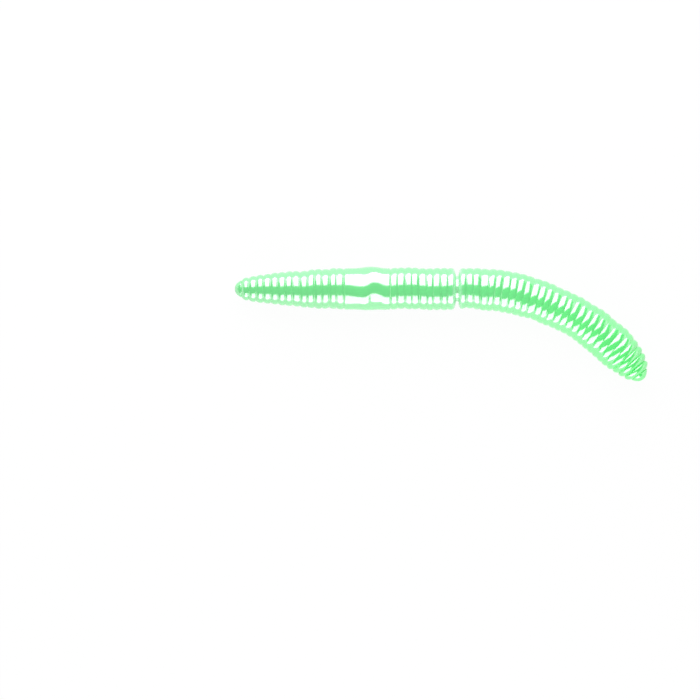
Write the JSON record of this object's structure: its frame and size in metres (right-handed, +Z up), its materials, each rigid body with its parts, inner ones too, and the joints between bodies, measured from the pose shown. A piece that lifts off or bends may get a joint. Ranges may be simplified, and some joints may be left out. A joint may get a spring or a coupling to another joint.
{
  "type": "soft plastic worm",
  "caption": "Ringed soft plastic fishing worm with a smooth saddle, a thin neck and a curved tail, split at its grooves so that it sways and lifts like the soft moulding",
  "frame": {"origin": "middle of the worm's box on the surface it lies on", "axes": "+X runs from the nose towards the tail, +Z is up, and the tail curves to -Y"},
  "size_m": [0.0752, 0.021, 0.0078],
  "materials": {
    "soft_plastic": "glossy translucent soft plastic, a little paler at the head and more vivid at the tail"
  },
  "bodies": {
    "head_tip": {"head_tip": "soft_plastic"},
    "head_ring_01": {"head_ring_01": "soft_plastic"},
    "head_ring_02": {"head_ring_02": "soft_plastic"},
    "head_ring_03": {"head_ring_03": "soft_plastic"},
    "head_ring_04": {"head_ring_04": "soft_plastic"},
    "head_ring_05": {"head_ring_05": "soft_plastic"},
    "head_ring_06": {"head_ring_06": "soft_plastic"},
    "head_ring_07": {"head_ring_07": "soft_plastic"},
    "head_ring_08": {"head_ring_08": "soft_plastic"},
    "head_ring_09": {"head_ring_09": "soft_plastic"},
    "head_ring_10": {"head_ring_10": "soft_plastic"},
    "head_ring_11": {"head_ring_11": "soft_plastic"},
    "head_ring_12": {"head_ring_12": "soft_plastic"},
    "head_ring_13": {"head_ring_13": "soft_plastic"},
    "head_ring_14": {"head_ring_14": "soft_plastic"},
    "saddle": {"saddle": "soft_plastic"},
    "mid_ring_01": {"mid_ring_01": "soft_plastic"},
    "mid_ring_02": {"mid_ring_02": "soft_plastic"},
    "mid_ring_03": {"mid_ring_03": "soft_plastic"},
    "mid_ring_04": {"mid_ring_04": "soft_plastic"},
    "mid_ring_05": {"mid_ring_05": "soft_plastic"},
    "mid_ring_06": {"mid_ring_06": "soft_plastic"},
    "mid_ring_07": {"mid_ring_07": "soft_plastic"},
    "mid_ring_08": {"mid_ring_08": "soft_plastic"},
    "mid_ring_09": {"mid_ring_09": "soft_plastic"},
    "neck": {"neck": "soft_plastic"},
    "tail_ring_01": {"tail_ring_01": "soft_plastic"},
    "tail_ring_02": {"tail_ring_02": "soft_plastic"},
    "tail_ring_03": {"tail_ring_03": "soft_plastic"},
    "tail_ring_04": {"tail_ring_04": "soft_plastic"},
    "tail_ring_05": {"tail_ring_05": "soft_plastic"},
    "tail_ring_06": {"tail_ring_06": "soft_plastic"},
    "tail_ring_07": {"tail_ring_07": "soft_plastic"},
    "tail_ring_08": {"tail_ring_08": "soft_plastic"},
    "tail_ring_09": {"tail_ring_09": "soft_plastic"},
    "tail_ring_10": {"tail_ring_10": "soft_plastic"},
    "tail_ring_11": {"tail_ring_11": "soft_plastic"},
    "tail_ring_12": {"tail_ring_12": "soft_plastic"},
    "tail_ring_13": {"tail_ring_13": "soft_plastic"},
    "tail_ring_14": {"tail_ring_14": "soft_plastic"},
    "tail_ring_15": {"tail_ring_15": "soft_plastic"},
    "tail_ring_16": {"tail_ring_16": "soft_plastic"},
    "tail_ring_17": {"tail_ring_17": "soft_plastic"},
    "tail_ring_18": {"tail_ring_18": "soft_plastic"},
    "tail_ring_19": {"tail_ring_19": "soft_plastic"},
    "tail_ring_20": {"tail_ring_20": "soft_plastic"},
    "tail_ring_21": {"tail_ring_21": "soft_plastic"},
    "tail_ring_22": {"tail_ring_22": "soft_plastic"},
    "tail_ring_23": {"tail_ring_23": "soft_plastic"},
    "tail_ring_24": {"tail_ring_24": "soft_plastic"},
    "tail_ring_25": {"tail_ring_25": "soft_plastic"},
    "tail_ring_26": {"tail_ring_26": "soft_plastic"},
    "tail_ring_27": {"tail_ring_27": "soft_plastic"},
    "tail_ring_28": {"tail_ring_28": "soft_plastic"},
    "tail_ring_29": {"tail_ring_29": "soft_plastic"},
    "tail_tip": {"tail_tip": "soft_plastic"}
  },
  "joints": [
    {"name": "head_sway", "type": "hinge", "parent": "saddle", "child": "head_ring_14", "pos_m": [-0.01781, 0.00658, 0.0039], "axis": [0, -0.0017, -1], "range_deg": [-5.5, 5.5], "stiffness_Nm_per_rad": 0.00005},
    {"name": "head_lift", "type": "hinge", "parent": "head_ring_14", "child": "head_ring_13", "pos_m": [-0.01914, 0.00658, 0.0039], "axis": [0, 1, -0.0017], "range_deg": [0, 5], "stiffness_Nm_per_rad": 0.00005},
    {"name": "head_sway_02", "type": "hinge", "parent": "head_ring_13", "child": "head_ring_12", "pos_m": [-0.02047, 0.00658, 0.0039], "axis": [0, -0.0017, -1], "range_deg": [-5.5, 5.5], "stiffness_Nm_per_rad": 0.00005},
    {"name": "head_lift_02", "type": "hinge", "parent": "head_ring_12", "child": "head_ring_11", "pos_m": [-0.0218, 0.00658, 0.0039], "axis": [0, 1, -0.0017], "range_deg": [0, 5], "stiffness_Nm_per_rad": 0.00005},
    {"name": "head_sway_03", "type": "hinge", "parent": "head_ring_11", "child": "head_ring_10", "pos_m": [-0.02313, 0.00658, 0.0039], "axis": [0, -0.0017, -1], "range_deg": [-5.5, 5.5], "stiffness_Nm_per_rad": 0.00005},
    {"name": "head_lift_03", "type": "hinge", "parent": "head_ring_10", "child": "head_ring_09", "pos_m": [-0.02446, 0.00658, 0.0039], "axis": [0, 1, -0.0017], "range_deg": [0, 5], "stiffness_Nm_per_rad": 0.00005},
    {"name": "head_sway_04", "type": "hinge", "parent": "head_ring_09", "child": "head_ring_08", "pos_m": [-0.02579, 0.00658, 0.0039], "axis": [0, -0.0017, -1], "range_deg": [-5.5, 5.5], "stiffness_Nm_per_rad": 0.00005},
    {"name": "head_lift_04", "type": "hinge", "parent": "head_ring_08", "child": "head_ring_07", "pos_m": [-0.02712, 0.00658, 0.0039], "axis": [0, 1, -0.0017], "range_deg": [0, 5], "stiffness_Nm_per_rad": 0.00005},
    {"name": "head_sway_05", "type": "hinge", "parent": "head_ring_07", "child": "head_ring_06", "pos_m": [-0.02845, 0.00658, 0.0039], "axis": [0, -0.0017, -1], "range_deg": [-5.5, 5.5], "stiffness_Nm_per_rad": 0.00005},
    {"name": "head_lift_05", "type": "hinge", "parent": "head_ring_06", "child": "head_ring_05", "pos_m": [-0.02978, 0.00658, 0.0039], "axis": [0, 1, -0.0017], "range_deg": [0, 5], "stiffness_Nm_per_rad": 0.00005},
    {"name": "head_sway_06", "type": "hinge", "parent": "head_ring_05", "child": "head_ring_04", "pos_m": [-0.03111, 0.00658, 0.0039], "axis": [0, -0.0017, -1], "range_deg": [-5.5, 5.5], "stiffness_Nm_per_rad": 0.00005},
    {"name": "head_lift_06", "type": "hinge", "parent": "head_ring_04", "child": "head_ring_03", "pos_m": [-0.03244, 0.00658, 0.0039], "axis": [0, 1, -0.0017], "range_deg": [0, 5], "stiffness_Nm_per_rad": 0.00005},
    {"name": "head_sway_07", "type": "hinge", "parent": "head_ring_03", "child": "head_ring_02", "pos_m": [-0.03377, 0.00658, 0.0039], "axis": [0, -0.0017, -1], "range_deg": [-5.5, 5.5], "stiffness_Nm_per_rad": 0.00005},
    {"name": "head_lift_07", "type": "hinge", "parent": "head_ring_02", "child": "head_ring_01", "pos_m": [-0.0351, 0.00658, 0.0039], "axis": [0, 1, -0.0017], "range_deg": [0, 5], "stiffness_Nm_per_rad": 0.00005},
    {"name": "head_sway_08", "type": "hinge", "parent": "head_ring_01", "child": "head_tip", "pos_m": [-0.03643, 0.00658, 0.0039], "axis": [0, -0.0017, -1], "range_deg": [-5.5, 5.5], "stiffness_Nm_per_rad": 0.00005},
    {"name": "middle_sway", "type": "hinge", "parent": "saddle", "child": "mid_ring_01", "pos_m": [-0.00931, 0.00658, 0.0039], "axis": [0, -0.0017, 1], "range_deg": [-5.5, 5.5], "stiffness_Nm_per_rad": 0.00005},
    {"name": "middle_lift", "type": "hinge", "parent": "mid_ring_01", "child": "mid_ring_02", "pos_m": [-0.00801, 0.00658, 0.0039], "axis": [0, -1, -0.0017], "range_deg": [0, 5], "stiffness_Nm_per_rad": 0.00005},
    {"name": "middle_sway_02", "type": "hinge", "parent": "mid_ring_02", "child": "mid_ring_03", "pos_m": [-0.00671, 0.00658, 0.0039], "axis": [0, -0.0017, 1], "range_deg": [-5.5, 5.5], "stiffness_Nm_per_rad": 0.00005},
    {"name": "middle_lift_02", "type": "hinge", "parent": "mid_ring_03", "child": "mid_ring_04", "pos_m": [-0.00541, 0.00658, 0.0039], "axis": [0, -1, -0.0017], "range_deg": [0, 5], "stiffness_Nm_per_rad": 0.00005},
    {"name": "middle_sway_03", "type": "hinge", "parent": "mid_ring_04", "child": "mid_ring_05", "pos_m": [-0.00411, 0.00658, 0.0039], "axis": [0, -0.0017, 1], "range_deg": [-5.5, 5.5], "stiffness_Nm_per_rad": 0.00005},
    {"name": "middle_lift_03", "type": "hinge", "parent": "mid_ring_05", "child": "mid_ring_06", "pos_m": [-0.00281, 0.00658, 0.0039], "axis": [0, -1, -0.0017], "range_deg": [0, 5], "stiffness_Nm_per_rad": 0.00005},
    {"name": "middle_sway_04", "type": "hinge", "parent": "mid_ring_06", "child": "mid_ring_07", "pos_m": [-0.00151, 0.00658, 0.0039], "axis": [0, -0.0017, 1], "range_deg": [-5.5, 5.5], "stiffness_Nm_per_rad": 0.00005},
    {"name": "middle_lift_04", "type": "hinge", "parent": "mid_ring_07", "child": "mid_ring_08", "pos_m": [-0.00021, 0.00658, 0.0039], "axis": [0, -1, -0.0017], "range_deg": [0, 5], "stiffness_Nm_per_rad": 0.00005},
    {"name": "middle_sway_05", "type": "hinge", "parent": "mid_ring_08", "child": "mid_ring_09", "pos_m": [0.00109, 0.00658, 0.0039], "axis": [0, -0.0017, 1], "range_deg": [-5.5, 5.5], "stiffness_Nm_per_rad": 0.00005},
    {"name": "neck_sway", "type": "hinge", "parent": "mid_ring_09", "child": "neck", "pos_m": [0.00239, 0.00658, 0.0039], "axis": [0, -0.0017, 1], "range_deg": [-6, 6], "stiffness_Nm_per_rad": 0.00005},
    {"name": "neck_lift", "type": "hinge", "parent": "neck", "child": "tail_ring_01", "pos_m": [0.00314, 0.00658, 0.0039], "axis": [0, -1, -0.0017], "range_deg": [0, 6], "stiffness_Nm_per_rad": 0.00005},
    {"name": "tail_front_sway", "type": "hinge", "parent": "tail_ring_01", "child": "tail_ring_02", "pos_m": [0.00444, 0.00658, 0.0039], "axis": [0, -0.0017, 1], "range_deg": [-3.5, 5.5], "stiffness_Nm_per_rad": 0.00005},
    {"name": "tail_front_lift", "type": "hinge", "parent": "tail_ring_02", "child": "tail_ring_03", "pos_m": [0.00574, 0.00658, 0.0039], "axis": [-0.034, -0.9994, -0.0017], "range_deg": [0, 5], "stiffness_Nm_per_rad": 0.00005},
    {"name": "tail_front_sway_02", "type": "hinge", "parent": "tail_ring_03", "child": "tail_ring_04", "pos_m": [0.00703, 0.00654, 0.0039], "axis": [-0.0001, -0.0017, 1], "range_deg": [-3.5, 5.5], "stiffness_Nm_per_rad": 0.00005},
    {"name": "tail_front_lift_02", "type": "hinge", "parent": "tail_ring_04", "child": "tail_ring_05", "pos_m": [0.00833, 0.00645, 0.0039], "axis": [-0.1019, -0.9948, -0.0017], "range_deg": [0, 5], "stiffness_Nm_per_rad": 0.00005},
    {"name": "tail_front_sway_03", "type": "hinge", "parent": "tail_ring_05", "child": "tail_ring_06", "pos_m": [0.00962, 0.00632, 0.0039], "axis": [-0.0002, -0.0017, 1], "range_deg": [-3.5, 5.5], "stiffness_Nm_per_rad": 0.00005},
    {"name": "tail_front_lift_03", "type": "hinge", "parent": "tail_ring_06", "child": "tail_ring_07", "pos_m": [0.01091, 0.00614, 0.0039], "axis": [-0.1693, -0.9856, -0.0017], "range_deg": [0, 5], "stiffness_Nm_per_rad": 0.00005},
    {"name": "tail_front_sway_04", "type": "hinge", "parent": "tail_ring_07", "child": "tail_ring_08", "pos_m": [0.01219, 0.00592, 0.0039], "axis": [-0.0004, -0.0017, 1], "range_deg": [-3.5, 5.5], "stiffness_Nm_per_rad": 0.00005},
    {"name": "tail_front_lift_04", "type": "hinge", "parent": "tail_ring_08", "child": "tail_ring_09", "pos_m": [0.01347, 0.00566, 0.0039], "axis": [-0.236, -0.9718, -0.0017], "range_deg": [0, 5], "stiffness_Nm_per_rad": 0.00005},
    {"name": "tail_front_sway_05", "type": "hinge", "parent": "tail_ring_09", "child": "tail_ring_10", "pos_m": [0.01473, 0.00535, 0.0039], "axis": [-0.0005, -0.0017, 1], "range_deg": [-3.5, 5.5], "stiffness_Nm_per_rad": 0.00005},
    {"name": "tail_front_lift_05", "type": "hinge", "parent": "tail_ring_10", "child": "tail_ring_11", "pos_m": [0.01598, 0.005, 0.0039], "axis": [-0.3015, -0.9535, -0.0017], "range_deg": [0, 5], "stiffness_Nm_per_rad": 0.00005},
    {"name": "tail_front_sway_06", "type": "hinge", "parent": "tail_ring_11", "child": "tail_ring_12", "pos_m": [0.01722, 0.00461, 0.0039], "axis": [-0.0006, -0.0016, 1], "range_deg": [-3.5, 5.5], "stiffness_Nm_per_rad": 0.00005},
    {"name": "tail_front_lift_06", "type": "hinge", "parent": "tail_ring_12", "child": "tail_ring_13", "pos_m": [0.01845, 0.00418, 0.0039], "axis": [-0.3657, -0.9307, -0.0017], "range_deg": [0, 5], "stiffness_Nm_per_rad": 0.00005},
    {"name": "tail_front_sway_07", "type": "hinge", "parent": "tail_ring_13", "child": "tail_ring_14", "pos_m": [0.01966, 0.0037, 0.0039], "axis": [-0.0007, -0.0016, 1], "range_deg": [-3.5, 5.5], "stiffness_Nm_per_rad": 0.00005},
    {"name": "tail_front_lift_07", "type": "hinge", "parent": "tail_ring_14", "child": "tail_ring_15", "pos_m": [0.02085, 0.00318, 0.0039], "axis": [-0.4281, -0.9037, -0.0017], "range_deg": [0, 5], "stiffness_Nm_per_rad": 0.00005},
    {"name": "tail_rear_sway", "type": "hinge", "parent": "tail_ring_15", "child": "tail_ring_16", "pos_m": [0.02202, 0.00263, 0.0039], "axis": [-0.0008, -0.0016, 1], "range_deg": [-3.5, 5.5], "stiffness_Nm_per_rad": 0.00005},
    {"name": "tail_rear_lift", "type": "hinge", "parent": "tail_ring_16", "child": "tail_ring_17", "pos_m": [0.02318, 0.00203, 0.0039], "axis": [-0.4886, -0.8725, -0.0017], "range_deg": [0, 5], "stiffness_Nm_per_rad": 0.00005},
    {"name": "tail_rear_sway_02", "type": "hinge", "parent": "tail_ring_17", "child": "tail_ring_18", "pos_m": [0.02431, 0.0014, 0.0039], "axis": [-0.0009, -0.0015, 1], "range_deg": [-3.5, 5.5], "stiffness_Nm_per_rad": 0.00005},
    {"name": "tail_rear_lift_02", "type": "hinge", "parent": "tail_ring_18", "child": "tail_ring_19", "pos_m": [0.02543, 0.00072, 0.0039], "axis": [-0.5468, -0.8372, -0.0017], "range_deg": [0, 5], "stiffness_Nm_per_rad": 0.00005},
    {"name": "tail_rear_sway_03", "type": "hinge", "parent": "tail_ring_19", "child": "tail_ring_20", "pos_m": [0.02651, 0.00001, 0.0039], "axis": [-0.001, -0.0014, 1], "range_deg": [-3.5, 5.5], "stiffness_Nm_per_rad": 0.00005},
    {"name": "tail_rear_lift_03", "type": "hinge", "parent": "tail_ring_20", "child": "tail_ring_21", "pos_m": [0.02758, -0.00074, 0.0039], "axis": [-0.6025, -0.7981, -0.0017], "range_deg": [0, 5], "stiffness_Nm_per_rad": 0.00005},
    {"name": "tail_rear_sway_04", "type": "hinge", "parent": "tail_ring_21", "child": "tail_ring_22", "pos_m": [0.02862, -0.00152, 0.0039], "axis": [-0.0011, -0.0014, 1], "range_deg": [-3.5, 5.5], "stiffness_Nm_per_rad": 0.00005},
    {"name": "tail_rear_lift_04", "type": "hinge", "parent": "tail_ring_22", "child": "tail_ring_23", "pos_m": [0.02963, -0.00234, 0.0039], "axis": [-0.6554, -0.7553, -0.0017], "range_deg": [0, 5], "stiffness_Nm_per_rad": 0.00005},
    {"name": "tail_rear_sway_05", "type": "hinge", "parent": "tail_ring_23", "child": "tail_ring_24", "pos_m": [0.03061, -0.00319, 0.0039], "axis": [-0.0012, -0.0013, 1], "range_deg": [-3.5, 5.5], "stiffness_Nm_per_rad": 0.00005},
    {"name": "tail_rear_lift_05", "type": "hinge", "parent": "tail_ring_24", "child": "tail_ring_25", "pos_m": [0.03156, -0.00407, 0.0039], "axis": [-0.7053, -0.709, -0.0017], "range_deg": [0, 5], "stiffness_Nm_per_rad": 0.00005},
    {"name": "tail_rear_sway_06", "type": "hinge", "parent": "tail_ring_25", "child": "tail_ring_26", "pos_m": [0.03248, -0.00499, 0.0039], "axis": [-0.0013, -0.0012, 1], "range_deg": [-3.5, 5.5], "stiffness_Nm_per_rad": 0.00005},
    {"name": "tail_rear_lift_06", "type": "hinge", "parent": "tail_ring_26", "child": "tail_ring_27", "pos_m": [0.03337, -0.00594, 0.0039], "axis": [-0.7518, -0.6593, -0.0017], "range_deg": [0, 5], "stiffness_Nm_per_rad": 0.00005},
    {"name": "tail_rear_sway_07", "type": "hinge", "parent": "tail_ring_27", "child": "tail_ring_28", "pos_m": [0.03423, -0.00692, 0.0039], "axis": [-0.0014, -0.0011, 1], "range_deg": [-3.5, 5.5], "stiffness_Nm_per_rad": 0.00005},
    {"name": "tail_rear_lift_07", "type": "hinge", "parent": "tail_ring_28", "child": "tail_ring_29", "pos_m": [0.03505, -0.00792, 0.0039], "axis": [-0.7949, -0.6067, -0.0017], "range_deg": [0, 5], "stiffness_Nm_per_rad": 0.00005},
    {"name": "tail_rear_sway_08", "type": "hinge", "parent": "tail_ring_29", "child": "tail_tip", "pos_m": [0.03584, -0.00896, 0.0039], "axis": [-0.0014, -0.001, 1], "range_deg": [-3.5, 5.5], "stiffness_Nm_per_rad": 0.00005}
  ],
  "couplings": [
    {"joint": "head_sway_02", "follows": "head_sway", "ratio": 1},
    {"joint": "head_lift_02", "follows": "head_lift", "ratio": 1},
    {"joint": "head_sway_03", "follows": "head_sway", "ratio": 1},
    {"joint": "head_lift_03", "follows": "head_lift", "ratio": 1},
    {"joint": "head_sway_04", "follows": "head_sway", "ratio": 1},
    {"joint": "head_lift_04", "follows": "head_lift", "ratio": 1},
    {"joint": "head_sway_05", "follows": "head_sway", "ratio": 1},
    {"joint": "head_lift_05", "follows": "head_lift", "ratio": 1},
    {"joint": "head_sway_06", "follows": "head_sway", "ratio": 1},
    {"joint": "head_lift_06", "follows": "head_lift", "ratio": 1},
    {"joint": "head_sway_07", "follows": "head_sway", "ratio": 1},
    {"joint": "head_lift_07", "follows": "head_lift", "ratio": 1},
    {"joint": "head_sway_08", "follows": "head_sway", "ratio": 1},
    {"joint": "middle_sway_02", "follows": "middle_sway", "ratio": 1},
    {"joint": "middle_lift_02", "follows": "middle_lift", "ratio": 1},
    {"joint": "middle_sway_03", "follows": "middle_sway", "ratio": 1},
    {"joint": "middle_lift_03", "follows": "middle_lift", "ratio": 1},
    {"joint": "middle_sway_04", "follows": "middle_sway", "ratio": 1},
    {"joint": "middle_lift_04", "follows": "middle_lift", "ratio": 1},
    {"joint": "middle_sway_05", "follows": "middle_sway", "ratio": 1},
    {"joint": "tail_front_sway_02", "follows": "tail_front_sway", "ratio": 1},
    {"joint": "tail_front_lift_02", "follows": "tail_front_lift", "ratio": 1},
    {"joint": "tail_front_sway_03", "follows": "tail_front_sway", "ratio": 1},
    {"joint": "tail_front_lift_03", "follows": "tail_front_lift", "ratio": 1},
    {"joint": "tail_front_sway_04", "follows": "tail_front_sway", "ratio": 1},
    {"joint": "tail_front_lift_04", "follows": "tail_front_lift", "ratio": 1},
    {"joint": "tail_front_sway_05", "follows": "tail_front_sway", "ratio": 1},
    {"joint": "tail_front_lift_05", "follows": "tail_front_lift", "ratio": 1},
    {"joint": "tail_front_sway_06", "follows": "tail_front_sway", "ratio": 1},
    {"joint": "tail_front_lift_06", "follows": "tail_front_lift", "ratio": 1},
    {"joint": "tail_front_sway_07", "follows": "tail_front_sway", "ratio": 1},
    {"joint": "tail_front_lift_07", "follows": "tail_front_lift", "ratio": 1},
    {"joint": "tail_rear_sway_02", "follows": "tail_rear_sway", "ratio": 1},
    {"joint": "tail_rear_lift_02", "follows": "tail_rear_lift", "ratio": 1},
    {"joint": "tail_rear_sway_03", "follows": "tail_rear_sway", "ratio": 1},
    {"joint": "tail_rear_lift_03", "follows": "tail_rear_lift", "ratio": 1},
    {"joint": "tail_rear_sway_04", "follows": "tail_rear_sway", "ratio": 1},
    {"joint": "tail_rear_lift_04", "follows": "tail_rear_lift", "ratio": 1},
    {"joint": "tail_rear_sway_05", "follows": "tail_rear_sway", "ratio": 1},
    {"joint": "tail_rear_lift_05", "follows": "tail_rear_lift", "ratio": 1},
    {"joint": "tail_rear_sway_06", "follows": "tail_rear_sway", "ratio": 1},
    {"joint": "tail_rear_lift_06", "follows": "tail_rear_lift", "ratio": 1},
    {"joint": "tail_rear_sway_07", "follows": "tail_rear_sway", "ratio": 1},
    {"joint": "tail_rear_lift_07", "follows": "tail_rear_lift", "ratio": 1},
    {"joint": "tail_rear_sway_08", "follows": "tail_rear_sway", "ratio": 1}
  ]
}
